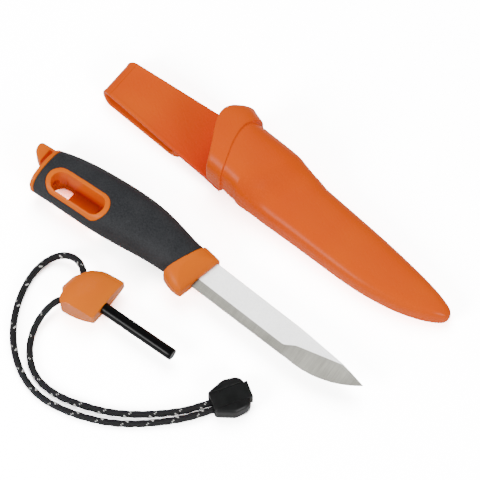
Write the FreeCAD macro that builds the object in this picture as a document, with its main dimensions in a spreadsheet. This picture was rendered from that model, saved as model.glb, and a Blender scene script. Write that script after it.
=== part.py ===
"""Rigging knife with its fire starter and belt sheath, laid out flat on a table.

Millimetres, +Z up. The table is z = 0. +X runs along the handle from the butt to the blade's tip, the
sheath lies on the +Y side and the fire starter on the -Y side, its rod parallel to the handle's socket.
The origin is on the table, under the middle of the knife, sheath and starter.
"""

import FreeCAD, Part
import math
import os

import Sketcher
from FreeCAD import Placement, Rotation, Vector

# Every driving dimension, in millimetres and degrees: (alias, value, what it is).
SIZES = [
    ("knife_z", 11.8, "height of the knife's middle plane over the table"),
    ("butt_x", -100.8, "flat end of the handle"),
    ("grip_rear_x", -98.4, "rear edge of the rubber, after the orange band"),
    ("rubber_depth", 2.3, "thickness of the rubber over the core"),
    ("handle_power", 2.5, "squareness of the handle's section, 2 is an ellipse"),
    ("blade_thickness", 2.2, "thickness of the blade's spine"),
    ("tang_end_x", -50.0, "rear end of the hidden tang"),
    ("tang_width", 9.0, "width of the hidden tang"),
    ("socket_y", -21.0, "axis of the fire starter's socket in the handle"),
    ("socket_radius", 3.2, "radius of the fire starter's socket"),
    ("socket_length", 46.0, "depth of the socket from the butt, across the window"),
    ("window_x", -75.0, "middle of the handle's window"),
    ("window_length", 32.6, "length of the window"),
    ("window_width", 10.2, "width of the window"),
    ("flare_length", 36.4, "length of the window's wider underside"),
    ("flare_width", 12.4, "width of the window's wider underside"),
    ("ring_length", 38.6, "length of the orange ring round the window"),
    ("ring_width", 14.4, "width of the orange ring round the window"),
    ("ledge_length", 16.7, "length of the ledge that closes the window's front underside"),
    ("ledge_drain", 7.0, "drain slot left in front of the ledge"),
    ("ledge_height", 7.0, "height of the ledge's top over the table"),
    ("lug_thickness", 12.0, "thickness of the hook at the butt"),
    ("lug_slit", 3.0, "slit under the hook that locks the starter's flange"),
    ("starter_x", -28.1, "front face of the starter's grip"),
    ("starter_y", -59.8, "axis of the starter's rod"),
    ("starter_z", 8.6, "height of the rod's axis over the table"),
    ("rod_radius", 3.05, "radius of the ferrocerium rod"),
    ("rod_length", 43.2, "length of rod that stands out of the grip"),
    ("rod_bury", 12.0, "length of rod set in the grip"),
    ("rod_chamfer", 0.4, "chamfer of the rod's ends"),
    ("channel_radius", 11.0, "radius of the curved cord channel's centreline"),
    ("channel_bore", 2.3, "radius of the cord channel"),
    ("channel_behind", 27.0, "centre of the channel's curve behind the front face"),
    ("cord_radius", 1.75, "radius of the lanyard cord"),
    ("bight_gap", 0.3, "gap between the hidden bight and each leg"),
    ("cord_end_x", 45.4, "mouth of the cord end"),
    ("cord_end_y", -68.6, "mouth of the cord end"),
    ("cord_end_turn", 57.0, "heading of the cord end from +X"),
    ("cord_end_length", 19.0, "length of the cord end's shell"),
    ("cord_end_height", 9.2, "height of the cord end's shell"),
    ("cord_end_floor", 1.3, "floor under the cords in the shell"),
    ("slider_width", 9.0, "width of the clamp that slides into the shell"),
    ("slider_bottom", 5.4, "underside of the clamp, just over the cords"),
    ("cord_stop", 8.0, "depth at which the cords' ends meet the shell"),
    ("flange_length", 1.2, "thickness of the clamp's end flange"),
    ("sheath_wall", 2.0, "wall of the sheath"),
    ("strap_thickness", 2.4, "thickness of the belt strap"),
    ("strap_fold_x", -108.6, "rear end of the folded strap"),
    ("strap_fold_top", 12.0, "height of the strap at its fold"),
    ("strap_root_x", -38.0, "where the strap leaves the sheath's back wall"),
    ("strap_root_z", 4.4, "underside of the strap at its root"),
    ("tongue_end_x", -53.0, "free end of the strap's tongue"),
    ("hinge_groove", 0.4, "radius of the groove where the strap bends"),
]

# The handle's outer shape: (x, low y, high y, thickness).
HANDLE = [
    (-100.8, -29.8, -4.3, 18.8),
    (-92.0, -29.4, -2.1, 20.8),
    (-79.0, -29.3, 0.0, 22.4),
    (-64.0, -29.2, 1.1, 23.4),
    (-48.0, -28.2, 1.4, 23.6),
    (-32.0, -26.6, 0.0, 22.6),
    (-18.0, -26.2, -3.1, 20.4),
    (-4.0, -26.6, -5.4, 18.6),
]
# The guard's section behind its slanted front: (x, low y, high y, thickness).
GUARD = [
    (-18.0, -28.4, -2.4, 19.0),
    (-11.0, -31.4, -3.2, 18.8),
    (-5.0, -33.0, -4.2, 17.2),
    (0.0, -32.6, -5.0, 14.8),
    (5.4, -30.0, -6.0, 11.0),
]

# The starter's lens-shaped grip about its front face and the rod's axis: (x, low y, high y, low z, high z).
STARTER = [
    (-24.0, -9.0, 7.0, -3.0, 3.0),
    (-20.0, -14.0, 10.5, -7.0, 6.8),
    (-14.0, -16.5, 15.2, -8.6, 8.6),
    (-8.0, -16.0, 17.2, -8.0, 7.6),
    (-3.0, -14.0, 18.0, -6.0, 5.4),
    (0.0, -13.0, 18.2, -4.4, 3.9),
]
# The grip's outline seen from above, with a stepped rear and a sharp far corner: (x, y, corner radius).
STARTER_PLAN = [
    (0.0, 17.0, 0.8),
    (-11.6, 14.6, 7.0),
    (-17.6, 10.2, 3.0),
    (-19.6, 5.6, 1.2),
    (-21.6, 3.4, 1.6),
    (-23.2, -4.6, 1.5),
    (-20.7, -7.2, 0.8),
    (-20.7, -9.2, 0.8),
    (-18.4, -12.2, 1.2),
    (0.0, -8.8, 1.2),
]

# The sheath's outer shape: (x, low y, high y, low z, high z).
SHEATH = [
    (-56.0, 33.0, 66.0, 5.6, 30.2),
    (-30.0, 31.2, 66.8, 3.7, 29.8),
    (-9.0, 28.0, 64.8, 2.1, 27.6),
    (3.0, 28.0, 63.4, 1.1, 22.6),
    (13.0, 27.9, 61.9, 0.3, 19.2),
    (35.0, 26.7, 59.0, 0.0, 17.6),
    (65.0, 25.4, 54.6, 0.0, 15.8),
    (84.0, 27.0, 51.2, 0.0, 14.2),
    (96.0, 29.8, 48.7, 0.0, 12.8),
    (105.0, 33.4, 46.2, 0.0, 11.2),
    (110.5, 36.8, 44.0, 0.6, 9.0),
]
# The collar round the mouth, with its thumb ramp on the spine side.
COLLAR = [
    (-60.0, 31.4, 70.2, 4.4, 32.0),
    (-47.0, 30.9, 69.8, 3.8, 31.4),
    (-39.0, 30.3, 70.0, 3.6, 31.2),
    (-31.0, 29.8, 68.8, 3.2, 31.0),
    (-18.0, 28.0, 66.8, 2.2, 29.9),
]
SHEATH_TIP = Vector(112.8, 40.4, 5.0)

# The lanyard's two legs, from the grip's channel to the cord end, as the corners of its route.
LONG_LEG = [
    (-47.3, -52.0, 8.6),
    (-51.2, -48.1, 8.2),
    (-57.6, -45.4, 6.8),
    (-64.8, -46.8, 4.9),
    (-69.8, -52.4, 3.2),
    (-72.0, -61.6, 2.0),
    (-70.6, -71.6, 1.75),
    (-67.2, -81.6, 1.75),
    (-62.0, -91.2, 1.75),
    (-55.0, -99.9, 1.75),
    (-46.2, -107.2, 1.75),
    (-36.0, -112.4, 1.75),
    (-24.8, -114.6, 1.75),
    (-13.0, -113.2, 1.75),
    (-1.2, -109.9, 1.75),
    (10.2, -105.0, 1.75),
    (20.6, -98.2, 1.75),
    (29.6, -90.4, 1.95),
    (36.6, -83.6, 2.5),
    (42.13, -77.21, 3.05),
    (51.39, -62.95, 3.05),
]
SHORT_LEG = [
    (-47.3, -67.6, 8.6),
    (-50.1, -70.4, 8.0),
    (-51.9, -76.4, 6.2),
    (-52.2, -83.0, 4.0),
    (-50.6, -90.2, 2.4),
    (-46.6, -97.4, 1.75),
    (-40.4, -103.8, 1.75),
    (-32.4, -107.9, 1.75),
    (-23.0, -109.0, 1.75),
    (-13.2, -107.6, 1.75),
    (-3.6, -104.6, 1.75),
    (5.6, -101.1, 1.75),
    (15.4, -95.6, 1.75),
    (25.0, -88.2, 1.75),
    (32.6, -81.6, 2.4),
    (38.87, -75.09, 3.05),
    (48.12, -60.83, 3.05),
]
SECTION_POINTS = 32

doc = FreeCAD.newDocument("rigging_knife")
sheet = doc.addObject("Spreadsheet::Sheet", "sizes")
for row, (alias, value, meaning) in enumerate(SIZES, start=1):
    sheet.set(f"A{row}", meaning)
    sheet.set(f"B{row}", str(value))
    sheet.setAlias(f"B{row}", alias)
doc.recompute()


def size(alias):
    """A driving dimension, read from the spreadsheet."""
    return float(sheet.get(alias))


def bind(item, **expressions):
    """Binds properties of an object to expressions of the spreadsheet's cells."""
    for name, expression in expressions.items():
        item.setExpression(name.replace("__", "."), expression)
    return item


def feature(name, shape):
    """A plain feature that holds a shape made with Part's own functions."""
    item = doc.addObject("Part::Feature", name)
    item.Shape = shape
    return item


def join(kind, name, items):
    """A parametric boolean of several objects."""
    item = doc.addObject(kind, name)
    item.Shapes = items
    return item


def cut(name, base, *tools):
    """Base without the tools."""
    tool = tools[0] if len(tools) == 1 else join("Part::MultiFuse", name + "_tools", list(tools))
    item = doc.addObject("Part::Cut", name)
    item.Base, item.Tool = base, tool
    return item


def outline_sketch(name, edges, placement=None):
    """A closed sketch of edges: a line through 2 points, an arc through 3, a spline through more."""
    sketch = doc.addObject("Sketcher::SketchObject", name)
    for points in edges:
        spots = [Vector(*p, 0) for p in points]
        if len(spots) == 2:
            sketch.addGeometry(Part.LineSegment(*spots), False)
        elif len(spots) == 3:
            sketch.addGeometry(Part.Arc(*spots), False)
        else:
            curve = Part.BSplineCurve()
            curve.interpolate(spots)
            sketch.addGeometry(curve, False)
    # An arc that runs clockwise is stored the other way round, so its start is its point 2.
    starts = []
    for index, points in enumerate(edges):
        gap = sketch.getPoint(index, 1) - Vector(*points[0], 0)
        starts.append(1 if gap.Length < 1e-6 else 2)
    for index, start in enumerate(starts):
        following = (index + 1) % len(edges)
        joined = Sketcher.Constraint("Coincident", index, 3 - start, following, starts[following])
        sketch.addConstraint(joined)
    if placement:
        sketch.Placement = placement
    return sketch


def soft_outline(corners):
    """Lines and tangent arcs round a closed outline of (x, y, corner radius)."""
    edges, start = [], None
    for index, (x, y, radius) in enumerate(corners):
        corner = Vector(x, y, 0)
        before, after = (Vector(*corners[(index + side) % len(corners)][:2], 0) for side in (-1, 1))
        back, ahead = (before - corner).normalize(), (after - corner).normalize()
        half = back.getAngle(ahead) / 2
        first, last = corner + back * (radius / math.tan(half)), corner + ahead * (radius / math.tan(half))
        middle = corner + (back + ahead).normalize() * (radius / math.sin(half) - radius)
        if start:
            edges.append([start, (first.x, first.y)])
        else:
            opening = (first.x, first.y)
        edges.append([(first.x, first.y), (middle.x, middle.y), (last.x, last.y)])
        start = (last.x, last.y)
    return edges + [[start, opening]]


def extrude(name, sketch, length, direction=Vector(0, 0, 1)):
    """A sketch pushed both ways from its plane; length is an expression."""
    item = doc.addObject("Part::Extrusion", name)
    item.Base, item.Dir, item.DirMode = sketch, direction, "Custom"
    item.Solid, item.Symmetric = True, True
    return bind(item, LengthFwd=length)


def rounded(name, base, radius, wanted=lambda edge: True):
    """Base with the wanted edges rounded."""
    doc.recompute()
    item = doc.addObject("Part::Fillet", name)
    item.Base = base
    edges = base.Shape.Edges
    item.Edges = [(i + 1, radius, radius) for i, edge in enumerate(edges) if wanted(edge)]
    return item


def oval(x, low_y, high_y, low_z, high_z, top_power, bottom_power):
    """A closed superelliptic section across X; a higher power is squarer."""
    points = []
    for step in range(SECTION_POINTS):
        # The curve's seam is at 45 degrees, clear of every cut and join.
        angle = math.pi / 4 + 2 * math.pi * step / SECTION_POINTS
        across, up = math.cos(angle), math.sin(angle)
        share = 2 / (top_power if up >= 0 else bottom_power)
        y = (low_y + high_y) / 2 + (high_y - low_y) / 2 * math.copysign(abs(across) ** share, across)
        z = (low_z + high_z) / 2 + (high_z - low_z) / 2 * math.copysign(abs(up) ** share, up)
        points.append(Vector(x, y, z))
    curve = Part.BSplineCurve()
    curve.interpolate(points, PeriodicFlag=True)
    return Part.Wire(curve.toShape())


def stations(table, power, inset=0.0):
    """Sections of a table of (x, low y, high y, thickness) about the knife's middle plane."""
    middle = size("knife_z")
    sections = []
    for x, low, high, thickness in table:
        half = thickness / 2 - inset
        sections.append(oval(x, low + inset, high - inset, middle - half, middle + half, power, power))
    return sections


def sheath_body(inset, last, lead=0.0):
    """The sheath's outer shape up to station number last, pulled in by inset, its start moved back by lead."""
    sections = []
    for x, low, high, bottom, top in SHEATH[:last]:
        x -= lead if not sections else 0.0
        sections.append(oval(x, low + inset, high - inset, bottom + inset, top - inset, 2.7, 4.5))
    return Part.makeLoft(sections, True, False)


def box(name, low, high):
    """A box between two corners."""
    item = doc.addObject("Part::Box", name)
    item.Length, item.Width, item.Height = (b - a for a, b in zip(low, high))
    item.Placement.Base = Vector(*low)
    return item


def obround(name, length, width, height=80):
    """An upright prism with round ends at the handle's window; length and width are aliases."""
    half = (size(length) - size(width)) / 2
    radius, x, y = size(width) / 2, size("window_x"), size("socket_y")
    edges = [
        [(x - half, y + radius), (x + half, y + radius)],
        [(x + half, y + radius), (x + half + radius, y), (x + half, y - radius)],
        [(x + half, y - radius), (x - half, y - radius)],
        [(x - half, y - radius), (x - half - radius, y), (x - half, y + radius)],
    ]
    return extrude(name, outline_sketch(name + "_outline", edges), str(height))


def cylinder(name, radius, height, base, direction):
    """A cylinder from base along direction; radius and height are expressions."""
    item = doc.addObject("Part::Cylinder", name)
    item.Placement = Placement(base, Rotation(Vector(0, 0, 1), direction))
    return bind(item, Radius=radius, Height=height)


# ---------------------------------------------------------------- knife


def make_guard(room):
    """The orange front of the handle, ahead of the rubber: a flared finger guard with a slanted front."""
    corners = [
        (-7.0, -2.6, 3.0),
        (-16.2, -26.2, 3.0),
        (-11.6, -33.2, 4.0),
        (-1.6, -33.8, 4.2),
        (4.8, -3.0, 4.0),
    ]
    outline = extrude("guard_plan", outline_sketch("guard_outline", soft_outline(corners)), "80")
    sections = stations(GUARD, size("handle_power"))
    bulk = feature("guard_bulk", Part.makeLoft(sections, True, False))
    return join("Part::MultiCommon", "guard", [outline, bulk, room, make_guard_slope()])


def make_guard_slope():
    """The space under the guard's two slopes, which run down to its thin front edge."""
    along = Vector(6.4, 30.8, 0).normalize()
    turn = Rotation(Vector(0, 0, 1), math.degrees(math.atan2(-along.x, along.y)))
    place = Placement(Vector(4.8, -3.0, size("knife_z")), turn * Rotation(Vector(1, 0, 0), 90))
    edges = [
        [(0.0, -3.0), (0.0, 3.0)],
        [(0.0, 3.0), (-1.2, 4.5), (-4.0, 6.6), (-8.0, 8.7), (-13.0, 10.4), (-30.0, 14.0)],
        [(-30.0, 14.0), (-30.0, -14.0)],
        [(-30.0, -14.0), (-13.0, -10.4), (-8.0, -8.7), (-4.0, -6.6), (-1.2, -4.5), (0.0, -3.0)],
    ]
    return extrude("guard_slope", outline_sketch("guard_slope_side", edges, place), "120", along)


def make_guard_room():
    """The space ahead of the rubber's front edge."""
    edges = [
        [(-5.6, 4.0), (-5.4, -3.4)],
        [(-5.4, -3.4), (-9.6, -17.0), (-13.6, -26.6)],
        [(-13.6, -26.6), (-17.0, -36.0)],
        [(-17.0, -36.0), (8.0, -36.0)],
        [(8.0, -36.0), (8.0, 4.0)],
        [(8.0, 4.0), (-5.6, 4.0)],
    ]
    return extrude("guard_room", outline_sketch("guard_room_outline", edges), "80")


def make_lug():
    """The hook behind the butt, on the spine side, with the slit that takes the starter's flange."""
    corners = [
        (-98.6, -6.0, 2.0),
        (-111.8, -6.4, 2.4),
        (-110.6, -12.6, 5.0),
        (-104.0, -16.9, 3.4),
        (-98.6, -16.5, 2.0),
    ]
    plane = Placement(Vector(0, 0, size("knife_z")), Rotation())
    outline = outline_sketch("lug_outline", soft_outline(corners), plane)
    block = extrude("lug_block", outline, "sizes.lug_thickness")
    round_lug = rounded("lug_round", block, 2.0, lambda edge: edge.BoundBox.ZLength < 0.01)
    rear = size("butt_x")
    slit = box("lug_slit_room", (rear - size("lug_slit"), -18.0, 0), (rear, -7.8, 30))
    return cut("lug", round_lug, slit)


def belly_y(belly, x):
    """Where the arc of the blade's belly crosses x."""
    line = Part.makeLine(Vector(x, -40, 0), Vector(x, -10, 0))
    return belly.distToShape(line)[1][0][0].y


def make_blade():
    """A flat-ground blade with a straight main bevel, a deeper bevel at the point, and a hidden tang."""
    half, middle = size("blade_thickness") / 2, size("knife_z")

    def section(x, spine, shoulder, edge, back=half):
        spots = [(spine, back), (shoulder, back), (edge, 0.0), (shoulder, -back), (spine, -back)]
        corners = [Vector(x, y, middle + z) for y, z in spots]
        return Part.makePolygon(corners + corners[:1])

    # The edge's belly is an arc from the end of the straight edge to the point.
    tip = Vector(101.0, -18.6, 0)
    belly = Part.Arc(Vector(62.0, -29.0, 0), Vector(84.0, -27.4, 0), tip).toShape()
    heel, bend = (-2.0, -7.0, -20.0, -25.2), (58.0, -11.5, -24.3, -28.9)
    straight = Part.makeLoft([section(*heel), section(*bend)], True, True)
    wide = [section(*bend), section(61.0, -11.8, -21.4, -29.0)]
    for x in (66, 71, 76, 81, 86):
        spine = -11.8 - (x - 61.0) * 3.5 / 26.0
        shoulder = -21.4 + (x - 61.0) * 5.4 / 26.0
        wide.append(section(x, spine, min(shoulder, spine - 0.15), belly_y(belly, x)))
    front = Part.makeLoft(wide, True, True)
    point = [section(86, -15.17, -15.32, belly_y(belly, 86))]
    for x in (90, 94, 98):
        share = (101.0 - x) / 15.0
        spine = -18.6 + 3.43 * share
        point.append(section(x, spine, spine - 0.15 * share, belly_y(belly, x), half * share))
    ends = [section(100.9, -18.56, -18.565, -18.66, 0.01)]
    nose = Part.makeLoft(point + ends, True, True)
    tang_corner = Vector(size("tang_end_x"), -16.0 - size("tang_width") / 2, middle - half)
    tang = Part.makeBox(-1.0 - size("tang_end_x"), size("tang_width"), 2 * half, tang_corner)
    return feature("blade", straight.fuse([front, nose, tang]).removeSplitter())


def make_knife():
    """The blade, the orange core and the rubber grip."""
    blade = make_blade()
    power = size("handle_power")
    outer = feature("handle_outer", Part.makeLoft(stations(HANDLE, power), True, False))
    inner = feature("handle_inner", Part.makeLoft(stations(HANDLE, power, size("rubber_depth")), True, False))
    guard_room = make_guard_room()
    guard, lug = make_guard(guard_room), make_lug()
    ring_prism = obround("ring_prism", "ring_length", "ring_width")
    ring = join("Part::MultiCommon", "window_ring", [outer, ring_prism])
    rear = size("butt_x")
    band_box = box("band_box", (rear, -40, -5), (size("grip_rear_x"), 10, 40))
    band = join("Part::MultiCommon", "butt_band", [outer, band_box])
    solid_core = join("Part::MultiFuse", "core_solid", [inner, guard, lug, ring, band])

    window = obround("window_prism", "window_length", "window_width")
    front = size("window_x") + size("window_length") / 2 - size("ledge_drain")
    ledge_box = box(
        "ledge_box", (front - size("ledge_length"), -40, -20), (front, 0, size("ledge_height"))
    )
    flare = obround("window_flare", "flare_length", "flare_width", 18)
    window_open = cut("window_open", join("Part::MultiFuse", "window_bore", [window, flare]), ledge_box)
    socket = cylinder(
        "socket", "sizes.socket_radius", "sizes.socket_length",
        Vector(rear, size("socket_y"), size("knife_z")), Vector(1, 0, 0),
    )
    core = cut("handle_core", solid_core, window_open, socket, blade)
    grip = cut("rubber_grip", outer, inner, ring_prism, band_box, guard_room)
    return [(blade, "blade"), (core, "handle_core"), (grip, "rubber_grip")]


# ---------------------------------------------------------------- fire starter


def make_rod():
    """The ferrocerium rod, half buried in the grip."""
    body = doc.addObject("PartDesign::Body", "rod_body")
    sketch = body.newObject("Sketcher::SketchObject", "rod_section")
    plane = next(f for f in body.Origin.OriginFeatures if f.Role == "YZ_Plane")
    sketch.AttachmentSupport, sketch.MapMode = [(plane, "")], "FlatFace"
    sketch.addGeometry(Part.Circle(Vector(0, 0, 0), Vector(0, 0, 1), size("rod_radius")), False)
    sketch.addConstraint(Sketcher.Constraint("Coincident", 0, 3, -1, 1))
    sketch.addConstraint(Sketcher.Constraint("Radius", 0, size("rod_radius")))
    sketch.setExpression("Constraints[1]", "sizes.rod_radius")
    pad = body.newObject("PartDesign::Pad", "rod_pad")
    pad.Profile = sketch
    bind(pad, Length="sizes.rod_length + sizes.rod_bury")
    doc.recompute()
    chamfer = body.newObject("PartDesign::Chamfer", "rod_chamfered")
    chamfer.Base = (pad, [f"Edge{i + 1}" for i, e in enumerate(pad.Shape.Edges) if len(e.Vertexes) == 1])
    bind(chamfer, Size="sizes.rod_chamfer")
    bind(
        body,
        Placement__Base__x="sizes.starter_x - sizes.rod_bury",
        Placement__Base__y="sizes.starter_y",
        Placement__Base__z="sizes.starter_z",
    )
    return body


def make_starter_grip(rod):
    """The starter's orange grip: a lens with a flat front, a thumb scoop on each side and a cord channel."""
    side, middle, height = size("starter_x"), size("starter_y"), size("starter_z")
    sections = []
    for x, low, high, bottom, top in STARTER:
        sections.append(oval(side + x, middle + low, middle + high, height + bottom, height + top, 2.2, 2.2))
    lens = feature("grip_lens", Part.makeLoft(sections, True, False))
    place = Placement(Vector(side, middle, 0), Rotation())
    plan = extrude("grip_plan", outline_sketch("grip_outline", soft_outline(STARTER_PLAN), place), "80")
    soft = join("Part::MultiCommon", "grip_soft", [lens, plan])
    dishes = []
    for name, offset in (("scoop_top", 11.8), ("scoop_under", -11.8)):
        dish = doc.addObject("Part::Ellipsoid", name)
        dish.Radius1, dish.Radius2, dish.Radius3 = 15.0, 11.5, 7.0
        # Its poles lie across the grip, clear of the surface it cuts.
        centre = Vector(side - 7.4, middle + 5.0, height + offset)
        dish.Placement = Placement(centre, Rotation(Vector(1, 0, 0), 90))
        dishes.append(dish)
    mouths = []
    for name, way in (("mouth_far", 1), ("mouth_near", -1)):
        start = Vector(side - 18.7, middle + 7.3 * way, height)
        mouths.append(cylinder(name, "sizes.channel_bore + 0.4", "8", start, Vector(-1, way, -0.12)))
    channel = doc.addObject("Part::Torus", "cord_channel")
    bind(
        channel,
        Radius1="sizes.channel_radius",
        Radius2="sizes.channel_bore",
        Placement__Base__x="sizes.starter_x - sizes.channel_behind",
        Placement__Base__y="sizes.starter_y",
        Placement__Base__z="sizes.starter_z",
    )
    return cut("starter_grip", soft, rod, channel, *dishes, *mouths)


# ---------------------------------------------------------------- lanyard


def tube(name, corners):
    """A cord along straight runs joined by tangent arcs, each as large as its two runs allow."""
    points = [Vector(*c) for c in corners]
    pieces, radii, start = [], [], points[0]
    for before, corner, after in zip(points, points[1:], points[2:]):
        back, ahead = (before - corner).normalize(), (after - corner).normalize()
        reach = 0.45 * min((before - corner).Length, (after - corner).Length)
        half_turn = (math.pi - back.getAngle(ahead)) / 2
        radii.append(reach / math.tan(half_turn))
        first, last = corner + back * reach, corner + ahead * reach
        bisector = (back + ahead).normalize()
        inside = radii[-1] * (1 / math.cos(half_turn) - 1)
        pieces += [Part.LineSegment(start, first), Part.Arc(first, corner + bisector * inside, last)]
        start = last
    pieces.append(Part.LineSegment(start, points[-1]))
    path = Part.Wire([piece.toShape() for piece in pieces])
    circle = Part.Circle(points[0], points[1] - points[0], size("cord_radius"))
    solid = path.makePipeShell([Part.Wire(circle.toShape())], True, False)
    expected = math.pi * size("cord_radius") ** 2 * path.Length
    share = solid.Volume / expected
    print(f"{name}: {path.Length:.1f} mm, volume {share:.4f} of expected, tightest {min(radii):.1f}")
    return feature(name, solid)


def make_bight():
    """The hidden stretch of cord in the grip's channel, between the two legs."""
    centre = Vector(size("starter_x") - size("channel_behind"), size("starter_y"), size("starter_z"))
    reach = size("channel_radius")
    half = math.pi / 4 - size("bight_gap") / reach
    ends = [centre + Vector(math.cos(a) * reach, math.sin(a) * reach, 0) for a in (-half, half)]
    arc = Part.Arc(ends[0], centre + Vector(reach, 0, 0), ends[1])
    circle = Part.Circle(ends[0], Vector(math.sin(half), math.cos(half), 0), size("cord_radius"))
    solid = Part.Wire(arc.toShape()).makePipeShell([Part.Wire(circle.toShape())], True, False)
    return feature("lanyard_bight", solid)


def cord_end_place():
    """The cord end's own frame: its mouth on the table, X along its length."""
    turn = Rotation(Vector(0, 0, 1), size("cord_end_turn"))
    return Placement(Vector(size("cord_end_x"), size("cord_end_y"), 0), turn)


def make_cord_end():
    """The two-piece cord end: a shell with two side lobes, and a clamp that slides in over the cords."""
    long, high = size("cord_end_length"), size("cord_end_height")
    corners = [
        (0.0, -5.6, 2.0),
        (9.4, -9.6, 6.0),
        (long, -8.4, 5.0),
        (long, 8.4, 5.0),
        (9.4, 9.6, 6.0),
        (0.0, 5.6, 2.0),
    ]
    middle = Placement(Vector(0, 0, high / 2), Rotation())
    outline = outline_sketch("shell_outline", soft_outline(corners), middle)
    block = extrude("shell_block", outline, "sizes.cord_end_height")
    soft = rounded("shell_soft", block, 1.9, lambda edge: edge.BoundBox.ZLength < 0.01)
    half = size("slider_width") / 2
    floor, under = size("cord_end_floor"), size("slider_bottom")
    room = box("cord_room", (-1, -half - 0.1, floor), (size("cord_stop"), half + 0.1, high + 1))
    slot = box("slider_slot", (-1, -half - 0.1, under - 0.1), (long + 1, half + 0.1, high + 1))
    shell = cut("cord_end_shell", soft, room, slot)
    plate = box("slider_plate", (0.4, -half, under), (long + 0.3, half, high - 0.2))
    back = long + 0.2
    flange = box("slider_flange", (back, -half, 1.6), (back + size("flange_length"), half, high))
    slider = join("Part::MultiFuse", "cord_end_slider", [plate, flange])
    return shell, slider


# ---------------------------------------------------------------- sheath


def strap_strip(name, edges):
    """A strip of strap from its side outline in the XZ plane, cut to the strap's tapering width."""
    upright = Placement(Vector(0, 0, 0), Rotation(Vector(1, 0, 0), 90))
    strip = extrude(name + "_strip", outline_sketch(name + "_side", edges, upright), "300", Vector(0, -1, 0))
    fold, root = size("strap_fold_x") - 2, size("strap_root_x") + 12
    taper = [
        [(fold, 39.8), (root, 30.6)],
        [(root, 30.6), (root, 67.0)],
        [(root, 67.0), (fold, 62.8)],
        [(fold, 62.8), (fold, 39.8)],
    ]
    width = extrude(name + "_width", outline_sketch(name + "_taper", taper), "80")
    return join("Part::MultiCommon", name, [strip, width])


def make_upper_strap():
    """The strap's upper run, from the sheath's back wall up to the fold."""
    thick, top = size("strap_thickness"), size("strap_fold_top")
    root_x, root_z, hinge = size("strap_root_x"), size("strap_root_z"), size("strap_fold_x") + top / 2
    edges = [
        [(hinge, top - thick), (root_x, root_z)],
        [(root_x, root_z), (root_x + 6, root_z)],
        [(root_x + 6, root_z), (root_x + 6, root_z + thick)],
        [(root_x + 6, root_z + thick), (root_x, root_z + thick)],
        [(root_x, root_z + thick), (hinge, top)],
        [(hinge, top), (hinge, top - thick)],
    ]
    return strap_strip("upper_strap", edges)


def make_belt_loop():
    """The strap's fold and its tongue, which flexes down from the fold."""
    thick, top, fold = size("strap_thickness"), size("strap_fold_top"), size("strap_fold_x")
    end, middle = size("tongue_end_x"), top / 2
    inner_x = fold + middle
    edges = [
        [(inner_x, top), (fold, middle), (inner_x, 0.0)],
        [(inner_x, 0.0), (end - 2, 0.0)],
        [(end - 2, 0.0), (end - 0.5, 0.8), (end, 2.0)],
        [(end, 2.0), (end, 3.6)],
        [(end, 3.6), (end - 3, thick)],
        [(end - 3, thick), (inner_x, thick)],
        [(inner_x, thick), (fold + thick, middle), (inner_x, top - thick)],
        [(inner_x, top - thick), (inner_x, top)],
    ]
    groove = cylinder("hinge_groove", "sizes.hinge_groove", "80", Vector(inner_x, 90, top), Vector(0, -1, 0))
    return cut("belt_loop", strap_strip("belt_loop_strap", edges), groove)


def make_collar():
    """The collar round the sheath's mouth: narrow underneath, wide on the spine side with a thumb ramp."""
    sections = [oval(*station, 2.7, 4.5) for station in COLLAR]
    band = feature("collar_band", Part.makeLoft(sections, True, False))
    front = [
        (-28.4, 73.4),
        (-30.3, 63.6),
        (-30.4, 56.0),
        (-27.1, 44.0),
        (-24.2, 35.0),
        (-23.2, 29.0),
        (-22.6, 20.0),
    ]
    edges = [
        front,
        [(-22.6, 20.0), (-80.0, 20.0)],
        [(-80.0, 20.0), (-80.0, 73.4)],
        [(-80.0, 73.4), (-28.4, 73.4)],
    ]
    region = extrude("collar_region", outline_sketch("collar_outline", edges), "100")
    return join("Part::MultiCommon", "collar", [band, region])


def make_sheath():
    """The sheath's shell with its collar and upper strap, and the flexing belt loop."""
    outer = sheath_body(0, len(SHEATH))
    nose = Part.makeLoft(
        [
            oval(*SHEATH[-1], 2.7, 4.5),
            oval(SHEATH_TIP.x - 0.6, 38.2, 42.6, 2.2, 7.6, 2.4, 3.0),
            oval(SHEATH_TIP.x, 39.5, 41.3, 4.2, 5.8, 2.0, 2.0),
        ],
        True, False,
    )
    shell_outer = feature("shell_outer", outer.fuse(nose))
    cavity = feature("cavity", sheath_body(size("sheath_wall"), len(SHEATH) - 1, 8.0))
    lip = [
        (-31.6, 18.0),
        (-32.4, 31.0),
        (-35.0, 38.6),
        (-40.0, 48.8),
        (-42.4, 56.0),
        (-41.8, 61.8),
        (-38.2, 67.0),
        (-32.0, 71.6),
    ]
    mouth = [
        lip,
        [(-32.0, 71.6), (-32.0, 90.0)],
        [(-32.0, 90.0), (-70.0, 90.0)],
        [(-70.0, 90.0), (-70.0, 18.0)],
        [(-70.0, 18.0), (-31.6, 18.0)],
    ]
    mouth_room = extrude("mouth_room", outline_sketch("mouth_outline", mouth), "100")
    rim = join("Part::MultiFuse", "shell_rim", [shell_outer, make_collar()])
    trimmed = cut("shell_trimmed", rim, mouth_room)
    walls = join("Part::MultiFuse", "shell_walls", [trimmed, make_upper_strap()])
    shell = cut("sheath_shell", walls, cavity)
    return shell, make_belt_loop()


# ---------------------------------------------------------------- assembly


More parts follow.
